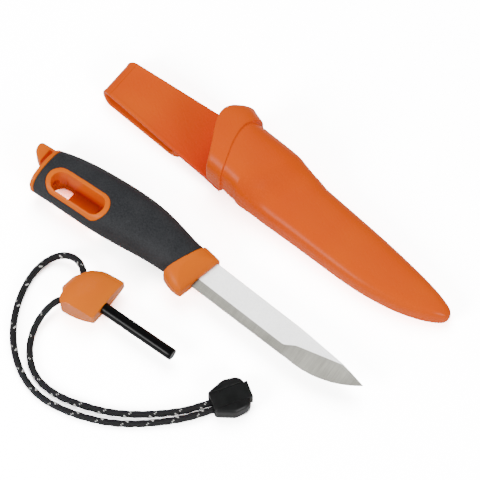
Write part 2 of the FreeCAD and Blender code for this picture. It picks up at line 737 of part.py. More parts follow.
def main():
    """Builds every sub-part, checks each one and writes it as STEP."""
    made = make_knife()
    rod = make_rod()
    grip = make_starter_grip(rod)
    made += [(rod, "ferro_rod"), (grip, "starter_grip")]
    made += [(tube("lanyard_long_leg", LONG_LEG), "lanyard_long_leg")]
    made += [(tube("lanyard_short_leg", SHORT_LEG), "lanyard_short_leg")]
    made += [(make_bight(), "lanyard_bight")]
    shell, slider = make_cord_end()
    made += [(shell, "cord_end_shell"), (slider, "cord_end_slider")]
    sheath, loop = make_sheath()
    made += [(sheath, "sheath_shell"), (loop, "belt_loop")]
    doc.recompute()
    for item in (shell, slider):
        item.Placement = cord_end_place()
    doc.recompute()
    for item in doc.Objects:
        if {"Invalid", "Error"} & set(item.State):
            raise RuntimeError(f"{item.Name} failed: {item.State}")
    os.makedirs("parts", exist_ok=True)
    for item, name in made:
        item.Label = name
        shape = item.Shape
        if shape.isNull() or not shape.isValid():
            raise RuntimeError(f"{name} has no valid shape")
        bound = shape.optimalBoundingBox(False)
        low, high = (bound.XMin, bound.YMin, bound.ZMin), (bound.XMax, bound.YMax, bound.ZMax)
        span = ", ".join(f"{a:.1f} to {b:.1f}" for a, b in zip(low, high))
        print(f"{name}: {len(shape.Solids)} solid, {shape.Volume:.0f} mm3, {span}")
        shape.exportStep(f"parts/{name}.step")


main()
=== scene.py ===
"""Looks of a rigging knife, its fire starter on a lanyard and its belt sheath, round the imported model.

Shapes are worked out in millimetres in the CAD's own frame and stored in metres. +Z is up from the
table, +X runs from the knife's butt to its point, and +Y from the knife to the sheath.
"""

import bisect
import math

import bpy
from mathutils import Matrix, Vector


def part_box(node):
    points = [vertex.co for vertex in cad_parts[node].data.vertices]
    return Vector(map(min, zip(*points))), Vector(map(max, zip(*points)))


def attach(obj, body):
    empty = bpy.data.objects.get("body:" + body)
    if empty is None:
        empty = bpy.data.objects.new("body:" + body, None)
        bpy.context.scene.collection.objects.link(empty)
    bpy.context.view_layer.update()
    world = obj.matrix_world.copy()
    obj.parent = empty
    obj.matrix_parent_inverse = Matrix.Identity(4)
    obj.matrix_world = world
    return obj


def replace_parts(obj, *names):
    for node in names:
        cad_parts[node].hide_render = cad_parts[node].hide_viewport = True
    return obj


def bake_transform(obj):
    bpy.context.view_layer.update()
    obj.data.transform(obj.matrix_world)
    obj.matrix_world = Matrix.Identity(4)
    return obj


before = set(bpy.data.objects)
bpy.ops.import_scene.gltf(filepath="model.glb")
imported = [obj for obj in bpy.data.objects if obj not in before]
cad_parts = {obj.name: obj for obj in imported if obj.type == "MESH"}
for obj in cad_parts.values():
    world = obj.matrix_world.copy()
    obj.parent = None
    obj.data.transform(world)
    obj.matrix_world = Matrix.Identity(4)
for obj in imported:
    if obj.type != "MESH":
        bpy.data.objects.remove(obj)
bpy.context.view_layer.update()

MM = 0.001


# ---------------------------------------------------------------- meshes


def piece(name, points, faces, materials, body, picks=None, sharp=None):
    """A smooth mesh from points in millimetres, riding on a body; picks gives each face's material number."""
    mesh = bpy.data.meshes.new(name)
    mesh.from_pydata([tuple(c * MM for c in p) for p in points], [], faces)
    for material in materials:
        mesh.materials.append(material)
    if picks:
        mesh.polygons.foreach_set("material_index", picks)
    mesh.validate()
    mesh.polygons.foreach_set("use_smooth", [True] * len(mesh.polygons))
    if sharp:
        mesh.set_sharp_from_angle(angle=math.radians(sharp))
    made = bpy.data.objects.new(name, mesh)
    bpy.context.scene.collection.objects.link(made)
    if body:
        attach(made, body)
    return made


def skin(rings, closed=True, start_cap=False, end_cap=False):
    """Points and faces of a surface through rings of equal length."""
    count = len(rings[0])
    points = [p for ring in rings for p in ring]
    faces = []
    for row in range(len(rings) - 1):
        for step in range(count if closed else count - 1):
            a, b = row * count + step, row * count + (step + 1) % count
            faces.append((a, b, b + count, a + count))
    for wanted, row in ((start_cap, 0), (end_cap, len(rings) - 1)):
        if wanted:
            cap = list(range(row * count, row * count + count))
            faces.append(cap[::-1] if row == 0 else cap)
    return points, faces


def softened(name, node, voxel, passes, material, body, slot):
    """A CAD node's surface with its edges rounded by a fine remesh, which stands for the node."""
    made = bpy.data.objects.new(name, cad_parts[node].data.copy())
    bpy.context.scene.collection.objects.link(made)
    remesh = made.modifiers.new("remesh", "REMESH")
    remesh.mode, remesh.voxel_size, remesh.use_smooth_shade = "VOXEL", voxel * MM, True
    smooth = made.modifiers.new("smooth", "SMOOTH")
    smooth.factor, smooth.iterations = 0.5, passes
    evaluated = made.evaluated_get(bpy.context.evaluated_depsgraph_get())
    mesh = bpy.data.meshes.new_from_object(evaluated)
    made.modifiers.clear()
    made.data = mesh
    mesh.materials.clear()
    mesh.materials.append(material)
    mesh.polygons.foreach_set("use_smooth", [True] * len(mesh.polygons))
    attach(made, body)
    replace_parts(made, node)


def between(table, x):
    """The columns of a table at x, on smooth curves through its rows."""
    xs = [row[0] for row in table]
    x = min(max(x, xs[0]), xs[-1])
    low = min(max(bisect.bisect_right(xs, x) - 1, 0), len(xs) - 2)
    step = xs[low + 1] - xs[low]
    share = (x - xs[low]) / step

    def slope(index, column):
        before, after = max(index - 1, 0), min(index + 1, len(xs) - 1)
        return (table[after][column] - table[before][column]) / (xs[after] - xs[before])

    values = []
    for column in range(1, len(table[0])):
        a, b = table[low][column], table[low + 1][column]
        at, bt = slope(low, column) * step, slope(low + 1, column) * step
        cubic = 2 * a - 2 * b + at + bt
        square = 3 * b - 3 * a - 2 * at - bt
        values.append(cubic * share**3 + square * share**2 + at * share + a)
    return values


def ease(x, start, end):
    """0 before start, 1 after end, and smooth between them."""
    share = min(max((x - start) / (end - start), 0.0), 1.0)
    return share * share * (3 - 2 * share)


def mix(a, b, share):
    """Numbers part of the way from a to b."""
    return [p + (q - p) * share for p, q in zip(a, b)]


# ---------------------------------------------------------------- materials


def linear(red, green, blue):
    """A screen colour of 0 to 255 as Blender's linear colour."""
    parts = [c / 255 for c in (red, green, blue)]
    return [c / 12.92 if c <= 0.04045 else ((c + 0.055) / 1.055) ** 2.4 for c in parts] + [1.0]


class Look:
    """A Principled material, with short calls for the nodes that vary it over the surface."""

    def __init__(self, name, **sockets):
        self.material = bpy.data.materials.new(name)
        self.material.use_nodes = True
        self.nodes = self.material.node_tree.nodes
        self.links = self.material.node_tree.links
        self.shader = self.nodes["Principled BSDF"]
        for socket, value in sockets.items():
            self.shader.inputs[socket.replace("_", " ")].default_value = value
        self.place = self.node("ShaderNodeTexCoord").outputs["Object"]
        self.normal = None

    def node(self, kind, settings=None, **inputs):
        """A node with its settings and inputs, by name or as i and a number; each a value or an output."""
        made = self.nodes.new(kind)
        for name, value in (settings or {}).items():
            setattr(made, name, value)
        for name, value in inputs.items():
            numbered = name[0] == "i" and name[1:].isdigit()
            socket = made.inputs[int(name[1:]) if numbered else name]
            if isinstance(value, bpy.types.NodeSocket):
                self.links.new(value, socket)
            else:
                socket.default_value = value
        return made

    def stretched(self, scale, turn=0.0):
        """The object's own place, turned about Z and scaled per axis, so that a pattern runs one way."""
        turned = self.node("ShaderNodeMapping", Vector=self.place, Rotation=(0, 0, turn))
        return self.node("ShaderNodeMapping", Vector=turned.outputs[0], Scale=scale).outputs[0]

    def noise(self, scale, detail=3.0, place=None, rough=0.55):
        """Noise from 0 to 1; scale is in cells per metre."""
        values = {"Scale": scale, "Detail": detail, "Roughness": rough}
        return self.node("ShaderNodeTexNoise", Vector=place or self.place, **values).outputs["Fac"]

    def cells(self, scale):
        """Distance from the middle of rounded cells."""
        made = self.node("ShaderNodeTexVoronoi", {"feature": "SMOOTH_F1"}, Vector=self.place, Scale=scale)
        return made.outputs["Distance"]

    def spread(self, value, low, high, start=0.3, end=0.7):
        """Value from start to end mapped to low to high."""
        names = {"From Min": start, "From Max": end, "To Min": low, "To Max": high}
        return self.node("ShaderNodeMapRange", Value=value, **names).outputs[0]

    def blend(self, share, first, second):
        """A colour part of the way between two colours."""
        made = self.node("ShaderNodeMix", {"data_type": "RGBA"})
        for index, value in ((0, share), (6, first), (7, second)):
            if isinstance(value, bpy.types.NodeSocket):
                self.links.new(value, made.inputs[index])
            else:
                made.inputs[index].default_value = value
        return made.outputs[2]

    def bump(self, height, depth, strength=1.0):
        """Adds a bump to those before it; depth is in millimetres."""
        made = self.node("ShaderNodeBump", Height=height, Distance=depth * MM, Strength=strength)
        if self.normal:
            self.links.new(self.normal, made.inputs["Normal"])
        self.normal = made.outputs[0]

    def use(self, **outputs):
        """Links outputs to the shader, with the bumps."""
        for socket, value in outputs.items():
            self.links.new(value, self.shader.inputs[socket.replace("_", " ")])
        if self.normal:
            self.links.new(self.normal, self.shader.inputs["Normal"])
        return self.material


def moulded(name, colour, deep, roughness, grain, coat=0.0, painted_shade_end=None, gloss=0.16):
    """Moulded plastic: a slow drift of colour, faint flow marks, fine grain and handling scuffs.

    The optional end argument is (x where it starts, x where it ends, colour): painted shade, the plastic
    blended towards that darker colour along x.
    """
    look = Look(name, Coat_Weight=coat, Coat_Roughness=0.12, IOR=1.48, Specular_IOR_Level=gloss)
    drift = look.noise(28.0, 2.0)
    flow = look.noise(90.0, 3.0, look.stretched((0.25, 1.0, 1.0)))
    speck = look.noise(2600.0, 2.0)
    scuff = look.noise(260.0, 5.0, look.stretched((0.35, 1.0, 1.0), 0.5), 0.7)
    toned = look.blend(look.spread(drift, 0.0, 1.0), linear(*colour), linear(*deep))
    tinted = look.blend(look.spread(flow, 0.0, 0.12), toned, linear(*(min(c + 14, 255) for c in colour)))
    # Painted shade: the colour deepens along x towards a darker end colour.
    if painted_shade_end:
        start, end, painted_shade_colour = painted_shade_end
        along = look.node("ShaderNodeSeparateXYZ", Vector=look.place).outputs["X"]
        tinted = look.blend(look.spread(along, 0.0, 1.0, start * MM, end * MM), tinted, linear(*painted_shade_colour))
    rough = look.spread(scuff, roughness, roughness + 0.16, 0.52, 0.8)
    look.bump(look.noise(34.0, 1.0), 0.25, 0.35)
    look.bump(speck, 0.012, grain)
    return look.use(Base_Color=tinted, Roughness=rough)


def rubber_look():
    """Dark grey thermoplastic rubber with a fine spark-eroded texture and pale dust in it."""
    look = Look("rubber", IOR=1.5, Specular_IOR_Level=0.25)
    pits = look.cells(2300.0)
    coarse = look.noise(1500.0, 3.0)
    worn = look.noise(70.0, 4.0)
    base = look.blend(look.spread(coarse, 0.0, 1.0), linear(40, 41, 43), linear(60, 61, 64))
    tinted = look.blend(look.spread(worn, 0.0, 0.25, 0.45, 0.75), base, linear(80, 80, 82))
    look.bump(pits, 0.08, 0.55)
    look.bump(coarse, 0.06, 0.5)
    return look.use(Base_Color=tinted, Roughness=look.spread(worn, 0.62, 0.74))


def steel_look(name, bright, dark, roughness, grind):
    """Stainless steel; grind is the share of fine lines across the blade, the rest is a blasted grain."""
    look = Look(name, Metallic=1.0)
    lines = look.noise(2200.0, 3.0, look.stretched((1.0, 0.03, 0.03)))
    grain = look.noise(1300.0, 4.0)
    cloud = look.noise(60.0, 3.0)
    texture = look.blend(grind, grain, lines)
    base = look.blend(look.spread(cloud, 0.0, 1.0), linear(*bright), linear(*dark))
    tinted = look.blend(look.spread(texture, 0.0, 0.35), base, linear(*(c - 34 for c in dark)))
    look.bump(texture, 0.03, 0.5)
    return look.use(Base_Color=tinted, Roughness=look.spread(texture, roughness, roughness + 0.14))


def ferro_look():
    """The rod's black protective lacquer over a drawn rod, with faint drawing lines and end scuffs."""
    look = Look("ferro", Specular_IOR_Level=0.22)
    lines = look.noise(900.0, 3.0, look.stretched((0.04, 1.0, 1.0)))
    scuff = look.noise(300.0, 5.0)
    tinted = look.blend(look.spread(scuff, 0.0, 0.5, 0.6, 0.8), linear(7, 7, 8), linear(34, 33, 32))
    look.bump(lines, 0.03, 0.4)
    return look.use(Base_Color=tinted, Roughness=look.spread(lines, 0.2, 0.3))


def cord_look(name, colour, light):
    """Braided polyester: fine filaments along each strand, with a soft sheen."""
    look = Look(name, Specular_IOR_Level=0.3)
    fibres = look.noise(5200.0, 3.0)
    tinted = look.blend(look.spread(fibres, 0.0, 1.0), linear(*colour), linear(*light))
    look.bump(fibres, 0.03, 0.6)
    return look.use(Base_Color=tinted, Roughness=look.spread(fibres, 0.5, 0.68))


def nylon_look():
    """Black nylon with a fine moulded texture and a slight gloss on its crowns."""
    look = Look("cord_end_nylon", IOR=1.53, Specular_IOR_Level=0.4)
    texture = look.noise(1700.0, 3.0)
    cloud = look.noise(120.0, 3.0)
    tinted = look.blend(look.spread(cloud, 0.0, 1.0), linear(16, 17, 17), linear(28, 29, 29))
    look.bump(texture, 0.04, 0.5)
    return look.use(Base_Color=tinted, Roughness=look.spread(cloud, 0.34, 0.48))


def table_look():
    """The pale table: white laminate with the faintest mottle."""
    look = Look("table_white")
    cloud = look.noise(14.0, 3.0)
    look.bump(look.noise(700.0, 2.0), 0.02, 0.3)
    tinted = look.blend(look.spread(cloud, 0.0, 1.0), linear(238, 238, 238), linear(234, 234, 234))
    look.use(Base_Color=tinted, Roughness=look.spread(cloud, 0.78, 0.86))
    # The camera sees the table overexposed, as white; the pieces are lit by it as it is.
    seen = look.node("ShaderNodeBsdfDiffuse", Color=(TABLE_GAIN, TABLE_GAIN, TABLE_GAIN, 1.0))
    straight = look.node("ShaderNodeLightPath").outputs["Is Camera Ray"]
    mixed = look.node("ShaderNodeMixShader", i0=straight, i1=look.shader.outputs[0], i2=seen.outputs[0])
    look.links.new(mixed.outputs[0], look.nodes["Material Output"].inputs["Surface"])
    return look.material


# How many times brighter than a white surface the table is for camera rays alone.
TABLE_GAIN = 13.0
SHEATH_ORANGE = moulded("sheath_polypropylene", (240, 95, 2), (236, 87, 1), 0.27, 0.5)
# The strap deepens to a redder orange from x -78 to -40, towards the collar: painted shade and orange bounce
# from the collar over it.
STRAP_ORANGE = moulded(
    "strap_polypropylene", (240, 95, 2), (236, 87, 1), 0.27, 0.5, painted_shade_end=(-78.0, -40.0, (230, 62, 1))
)
CORE_ORANGE = moulded("core_plastic", (244, 116, 2), (240, 106, 1), 0.32, 0.6)
STARTER_ORANGE = moulded("starter_plastic", (246, 124, 2), (243, 112, 1), 0.14, 0.25, 0.3, gloss=0.4)
RUBBER = rubber_look()
STEEL_FLAT = steel_look("blade_flat", (236, 236, 235), (226, 226, 224), 0.42, 0.12)
STEEL_BEVEL = steel_look("blade_bevel", (132, 131, 124), (116, 115, 108), 0.36, 0.85)
FERRO = ferro_look()
CORD_BLACK = cord_look("cord_black", (22, 22, 24), (48, 48, 50))
CORD_TRACER = cord_look("cord_tracer", (214, 214, 208), (240, 240, 236))
NYLON = nylon_look()


# ---------------------------------------------------------------- camera


CAMERA_AIM = (0.0006, 0.0154, 0.0)


def make_camera():
    """A long lens 62 degrees above the table, turned so that the knife runs down to the right."""
    turn, elevation, distance = math.radians(36.6), math.radians(62.0), 1.062
    flat = math.cos(elevation)
    back = Vector((math.sin(turn) * flat, -math.cos(turn) * flat, math.sin(elevation)))
    camera = bpy.data.objects.new("camera", bpy.data.cameras.new("camera"))
    bpy.context.scene.collection.objects.link(camera)
    camera.location = Vector(CAMERA_AIM) + back * distance
    camera.rotation_euler = (-back).to_track_quat("-Z", "Y").to_euler()
    camera.data.lens, camera.data.sensor_width = 155.1, 36.0
    camera.data.clip_start, camera.data.clip_end = 0.05, 20.0
    bpy.context.scene.camera = camera


# ---------------------------------------------------------------- lanyard

# The cord's route: along the outer leg from the cord end to the starter's grip, round in its channel,
# and back along the inner leg.
OUTER_LEG = [
    (51.39, -62.95, 3.05),
    (42.13, -77.21, 3.05),
    (36.6, -83.6, 2.5),
    (29.6, -90.4, 1.95),
    (20.6, -98.2, 1.75),
    (10.2, -105.0, 1.75),
    (-1.2, -109.9, 1.75),
    (-13.0, -113.2, 1.75),
    (-24.8, -114.6, 1.75),
    (-36.0, -112.4, 1.75),
    (-46.2, -107.2, 1.75),
    (-55.0, -99.9, 1.75),
    (-62.0, -91.2, 1.75),
    (-67.2, -81.6, 1.75),
    (-70.6, -71.6, 1.75),
    (-72.0, -61.6, 2.0),
    (-69.8, -52.4, 3.2),
    (-64.8, -46.8, 4.9),
    (-57.6, -45.4, 6.8),
    (-51.2, -48.1, 8.2),
    (-47.3, -52.0, 8.6),
]
CHANNEL_BEND = [
    (-44.5, -55.6, 8.6),
    (-43.9, -59.8, 8.6),
    (-44.5, -64.0, 8.6),
]
INNER_LEG = [
    (-47.3, -67.6, 8.6),
    (-50.1, -70.4, 8.0),
    (-51.9, -76.4, 6.2),
    (-52.2, -83.0, 4.0),
    (-50.6, -90.2, 2.4),
    (-46.6, -97.4, 1.75),
    (-40.4, -103.8, 1.75),
    (-32.4, -107.9, 1.75),
    (-23.0, -109.0, 1.75),
    (-13.2, -107.6, 1.75),
    (-3.6, -104.6, 1.75),
    (5.6, -101.1, 1.75),
    (15.4, -95.6, 1.75),
    (25.0, -88.2, 1.75),
    (32.6, -81.6, 2.4),
    (38.87, -75.09, 3.05),
    (48.12, -60.83, 3.05),
]
CORD_RADIUS = 1.75
CARRIERS = 8
BRAID_PITCH = 12.5
BRAID_LEAN = 0.2
STEPS_PER_PITCH = 36
STRAND_SIDES = 6
STRAND_HALF_WIDTH = 0.52
STRAND_HALF_HEIGHT = 0.23
STRAND_DEPTH = 0.26
STRAND_WEAVE = 0.1
CORE_SIDES = 12
CORE_RADIUS = 1.36
# The pale yarn of each way round: its carrier, and where in a turn it floats on top.
TRACERS = {1: (0, 0.0625), -1: (1, 0.25)}
TRACER_REACH = 0.065


def route_points(corners):
    """Points along the cord's NURBS route, in millimetres."""
    curve = bpy.data.curves.new("lanyard_route", "CURVE")
    curve.dimensions = "3D"
    spline = curve.splines.new("NURBS")
    spline.points.add(len(corners) - 1)
    for point, corner in zip(spline.points, corners):
        point.co = (*(c * MM for c in corner), 1.0)
    spline.order_u, spline.use_endpoint_u, spline.resolution_u = 3, True, 24
    holder = bpy.data.objects.new("lanyard_route", curve)
    bpy.context.scene.collection.objects.link(holder)
    mesh = bpy.data.meshes.new_from_object(holder.evaluated_get(bpy.context.evaluated_depsgraph_get()))
    points = [v.co / MM for v in mesh.vertices]
    bpy.data.objects.remove(holder)
    bpy.data.meshes.remove(mesh)
    return points


def evenly(points, spacing):
    """Points a fixed spacing apart along a line, each with its distance and its carried frame."""
    stations, walked, wanted = [], 0.0, 0.0
    for start, end in zip(points, points[1:]):
        length = (end - start).length
        while length and wanted <= walked + length:
            stations.append((start.lerp(end, (wanted - walked) / length), wanted))
            wanted += spacing
        walked += length
    frames, side = [], Vector((0, 0, 1))
    for index, (spot, distance) in enumerate(stations):
        before, after = stations[max(index - 1, 0)][0], stations[min(index + 1, len(stations) - 1)][0]
        ahead = (after - before).normalized()
        side = (side - ahead * side.dot(ahead)).normalized()
        frames.append((spot, distance, ahead, side, ahead.cross(side)))
    return frames, walked


def make_lanyard():
    """A round braid of 16 strands, over two and under two, with one pale tracer each way, on a dark core."""
    line = route_points(OUTER_LEG + CHANNEL_BEND + INNER_LEG)
    frames, length = evenly(line, BRAID_PITCH / STEPS_PER_PITCH)
    points, faces, picks = [], [], []
    crossings = 2 * CARRIERS
    for way in (1, -1):
        for carrier in range(CARRIERS):
            rings, pale = [], []
            for spot, distance, ahead, side, other in frames:
                turns = distance / BRAID_PITCH
                angle = 2 * math.pi * (way * turns + carrier / CARRIERS) + BRAID_LEAN
                phase = 0 if way > 0 else math.pi
                wave = math.sin(2 * math.pi * (turns * crossings / 4 + way * carrier / 4) + phase)
                height = CORD_RADIUS - STRAND_DEPTH + STRAND_WEAVE * math.copysign(abs(wave) ** 0.6, wave)
                out = side * math.cos(angle) + other * math.sin(angle)
                round_way = other * math.cos(angle) - side * math.sin(angle)
                along = (ahead * BRAID_PITCH + round_way * (way * 2 * math.pi * height)).normalized()
                across = along.cross(out)
                middle = spot + out * height
                ring = []
                for corner in range(STRAND_SIDES):
                    lean = 2 * math.pi * corner / STRAND_SIDES
                    sideways = across * (STRAND_HALF_WIDTH * math.cos(lean))
                    ring.append(middle + sideways + out * (STRAND_HALF_HEIGHT * math.sin(lean)))
                rings.append(ring)
                tracer, float_middle = TRACERS[way]
                off = abs((turns - float_middle + 0.25) % 0.5 - 0.25)
                pale.append(1 if carrier == tracer and off < TRACER_REACH else 0)
            strand_points, strand_faces = skin(rings, True, True, True)
            offset = len(points)
            points += strand_points
            faces += [tuple(i + offset for i in face) for face in strand_faces]
            picks += [mark for mark in pale[:-1] for _ in range(STRAND_SIDES)] + [0, 0]
    core = []
    for spot, distance, ahead, side, other in frames[::4] + frames[-1:]:
        spokes = [2 * math.pi * corner / CORE_SIDES for corner in range(CORE_SIDES)]
        core.append([spot + (side * math.cos(a) + other * math.sin(a)) * CORE_RADIUS for a in spokes])
    core_points, core_faces = skin(core, True, True, True)
    offset = len(points)
    points += core_points
    faces += [tuple(i + offset for i in face) for face in core_faces]
    picks += [0] * len(core_faces)
    cord = piece("lanyard_cord", points, faces, [CORD_BLACK, CORD_TRACER], "starter", picks)
    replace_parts(cord, "lanyard_long_leg", "lanyard_short_leg", "lanyard_bight")
    return length


# ---------------------------------------------------------------- sheath

# The sheath's outer shape: (x, low y, high y, low z, high z).
SHEATH = [
    (-56.0, 33.0, 66.0, 5.6, 30.2),
    (-30.0, 31.2, 66.8, 3.7, 29.8),
    (-14.0, 28.7, 66.0, 2.4, 29.0),
    (-5.0, 28.0, 64.7, 1.8, 27.2),
    (-1.0, 27.9, 63.9, 1.4, 25.2),
    (3.0, 28.1, 63.3, 1.1, 22.8),
    (7.0, 28.2, 62.7, 0.7, 20.8),
    (13.0, 27.9, 61.9, 0.3, 19.4),
    (35.0, 26.7, 59.0, 0.0, 17.6),
    (65.0, 25.4, 54.6, 0.0, 15.8),
    (84.0, 27.0, 51.2, 0.0, 14.2),
    (96.0, 29.8, 48.7, 0.0, 12.8),
    (105.0, 33.4, 46.2, 0.0, 11.2),
    (110.5, 36.8, 44.0, 0.6, 9.0),
    (112.2, 38.5, 42.3, 2.4, 7.2),
    (112.8, 40.0, 40.8, 4.6, 5.4),
]
# The collar round the mouth, with its thumb tab on the spine side.
COLLAR = [
    (-60.0, 31.4, 70.2, 4.4, 32.0),
    (-47.0, 30.9, 69.8, 3.8, 31.4),
    (-39.0, 30.3, 71.2, 3.6, 31.2),
    (-33.0, 29.9, 72.4, 3.3, 31.0),
    (-27.5, 29.4, 70.4, 2.9, 30.7),
    (-18.0, 28.0, 66.8, 2.2, 29.9),
]
# The mouth's rim and the collar's front edge, each as x against y.
RIM = [
    (18.0, -31.6),
    (31.0, -32.4),
    (38.6, -35.0),
    (48.8, -40.0),
    (56.0, -42.4),
    (61.8, -41.8),
    (67.0, -38.2),
    (71.6, -32.0),
]
COLLAR_FRONT = [
    (20.0, -22.6),
    (29.0, -22.4),
    (36.0, -23.6),
    (45.0, -26.3),
    (52.0, -27.6),
    (58.0, -27.8),
    (63.4, -26.2),
    (70.0, -23.4),
]
# The inside's sections, from the point out to the mouth.
INSIDE_STATIONS = (103, 99, 92, 84, 74, 64, 50, 35, 20, 12, 6, 1, -4, -10, -18, -26)
# How far in front of the rim each section of its roll lies, and its share of the collar over the inside.
RIM_ROLL = ((0.8, 0.0), (0.25, 0.06), (0.0, 0.25), (0.0, 0.75), (0.25, 0.94), (0.8, 1.0))
# The same for the step down from the collar's front edge, as its share over the shell.
COLLAR_STEP = ((-0.55, 1.0), (-0.3, 0.97), (-0.1, 0.86), (0.0, 0.6), (0.05, 0.25), (0.2, 0.06), (0.6, 0.0))
WALL = 2.0
AROUND = 120
MIDDLE_Y = 45.0


def section(dims, angle, top_power=2.7, bottom_power=4.5):
    """y and z on a superelliptic section of (low y, high y, low z, high z)."""
    low_y, high_y, low_z, high_z = dims
    across, up = math.cos(angle), math.sin(angle)
    share = 2 / (top_power if up >= 0 else bottom_power)
    y = (low_y + high_y) / 2 + (high_y - low_y) / 2 * math.copysign(abs(across) ** share, across)
    z = (low_z + high_z) / 2 + (high_z - low_z) / 2 * math.copysign(abs(up) ** share, up)
    return y, z


def grown(dims, by):
    """A section's box moved out by a distance all round."""
    return [dims[0] - by, dims[1] + by, dims[2] - by, dims[3] + by]


def shell(x):
    """The shell's outer section at x."""
    return between(SHEATH, x)


def collar(x):
    """The collar's outer section at x."""
    return between(COLLAR, x)


def rim_x(y):
    """The rim's x at y."""
    return between(RIM, y)[0]


def front_x(y):
    """The collar's front edge at y."""
    return between(COLLAR_FRONT, y)[0]


def ring(across, dims_at, lean=0.0):
    """Points round the sheath where x follows across(y); dims_at(x) gives the section, which lean slants."""
    points = []
    for step in range(AROUND):
        angle = 2 * math.pi * (step + 0.5) / AROUND
        x, y = across(MIDDLE_Y), MIDDLE_Y
        for _ in range(4):
            y, z = section(dims_at(x - lean * (y - MIDDLE_Y)), angle)
            x = across(y)
        points.append((x, y, z))
    return points


def slanted(x):
    """A ring of the shell: it starts parallel to the collar's front edge and leans forward at the neck."""
    follow = 1 - ease(x, -25.0, -10.0)
    lean = 0.42 * ease(x, -15.0, -3.0) * (1 - ease(x, 8.0, 26.0))

    def across(y):
        return x + follow * (front_x(y) - front_x(MIDDLE_Y)) + lean * (y - MIDDLE_Y)

    return ring(across, shell, lean)


def make_sheath():
    """The shell: its inside, the rolled rim, the collar with its crisp front edge, the neck and the point."""
    rings = []
    for x in INSIDE_STATIONS:
        rings.append(ring(lambda y, x=x: x, lambda _, x=x: grown(shell(x), -WALL)))
    for forward, share in RIM_ROLL:
        rings.append(
            ring(
                lambda y, f=forward: rim_x(y) + f,
                lambda x, s=share: mix(grown(shell(x), -WALL), collar(x), s),
            )
        )
    for share in (0.15, 0.3, 0.45, 0.6, 0.75, 0.88):
        rings.append(ring(lambda y, s=share: rim_x(y) * (1 - s) + front_x(y) * s, collar))
    for forward, share in COLLAR_STEP:
        rings.append(
            ring(
                lambda y, f=forward: front_x(y) + f,
                lambda x, s=share: mix(shell(x), collar(x), s),
            )
        )
    x = -24.6
    while x < 112.0:
        rings.append(slanted(x))
        x += 1.1 if -12 < x < 16 else (1.5 if x < 100 else 0.7)
    for x in (112.2, 112.5, 112.7, 112.8):
        rings.append(slanted(x))
    points, faces = skin(rings, True, True, True)
    made = piece("sheath_body", points, faces, [SHEATH_ORANGE], "sheath")
    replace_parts(made, "sheath_shell")


# The strap's two edges taper from the collar to the fold: (x, low y, high y).
STRAP_EDGES = [(-110.6, 39.8, 62.8), (-26.0, 30.6, 67.0)]
STRAP_THICK = 2.4
FOLD_X, FOLD_TOP = -102.6, 12.0
EDGE_ROUND, EDGE_NIP, DISH_DEPTH = 0.55, 0.16, 0.22
# Where the upper run starts to rise evenly to the fold, and how far it tilts before it levels out there.
RISE_X, RISE_Z, RISE_TILT = -38.0, 6.8, 0.08
# The strap's narrowing at the outside of the fold.
FOLD_INSET = 0.7
# The lip at the tongue's end: (x, z, how far the edges pull in, thickness).
LIP = [
    (-60.0, 0.0, 0.0, 2.5),
    (-58.6, 0.0, 0.1, 3.2),
    (-57.4, 0.1, 0.3, 4.2),
    (-56.4, 0.2, 0.6, 4.5),
    (-55.2, 0.5, 1.0, 4.2),
    (-54.2, 1.0, 1.6, 3.3),
    (-53.4, 1.6, 2.4, 2.2),
    (-53.0, 2.2, 3.4, 1.1),
]


def strap_section(half, thick):
    """Points round the strap, across and out: rounded edges and a shallow dish on the outer face."""
    left = [
        (-half, -EDGE_ROUND),
        (-half + EDGE_NIP, -EDGE_NIP),
        (-half + EDGE_ROUND, 0.0),
        (-half + 1.5, 0.0),
        (-half + 1.9, -DISH_DEPTH * 0.6),
        (-half + 2.5, -DISH_DEPTH),
        (-half * 0.5, -DISH_DEPTH),
    ]
    right_under = [
        (half, -thick + EDGE_ROUND),
        (half - EDGE_NIP, -thick + EDGE_NIP),
        (half - EDGE_ROUND, -thick),
        (half * 0.5, -thick),
    ]
    top = left + [(0.0, -DISH_DEPTH)] + [(-across, out) for across, out in reversed(left)]
    under = right_under + [(0.0, -thick)] + [(-across, out) for across, out in reversed(right_under)]
    return top + under


def strap_ring(x, z, outward, inset, thick):
    """One section of the strap: its outer face's place in XZ, the way it faces, and its edges' inset."""
    (rear, *rear_edges), (front, *front_edges) = STRAP_EDGES
    edges = mix(rear_edges, front_edges, (x - rear) / (front - rear))
    middle, half = (edges[0] + edges[1]) / 2, (edges[1] - edges[0]) / 2 - inset
    facing = Vector(outward).normalized()
    return [(x + facing.x * w, middle + v, z + facing.z * w) for v, w in strap_section(half, thick)]


def make_upper_strap():
    """The strap's upper run, from inside the mouth up to the fold."""
    rings = []
    for x, z in ((-24.0, 4.9), (-28.0, 5.6), (-33.0, 6.5), (-38.0, 7.0), (-46.0, 7.5)):
        rings.append(strap_ring(x, z, (RISE_TILT, 0, 1), 0.0, STRAP_THICK))
    x = -52.0
    while x > FOLD_X:
        z = RISE_Z + (FOLD_TOP - RISE_Z) * (x - RISE_X) / (FOLD_X - RISE_X)
        tilt = RISE_TILT * (1 - ease(-x, 90, 102))
        rings.append(strap_ring(x, z, (tilt, 0, 1), 0.0, STRAP_THICK))
        x -= 5.0
    rings.append(strap_ring(FOLD_X, FOLD_TOP, (0, 0, 1), 0.0, STRAP_THICK))
    points, faces = skin(rings[::-1], True, True, True)
    piece("sheath_strap", points, faces, [STRAP_ORANGE], "sheath")


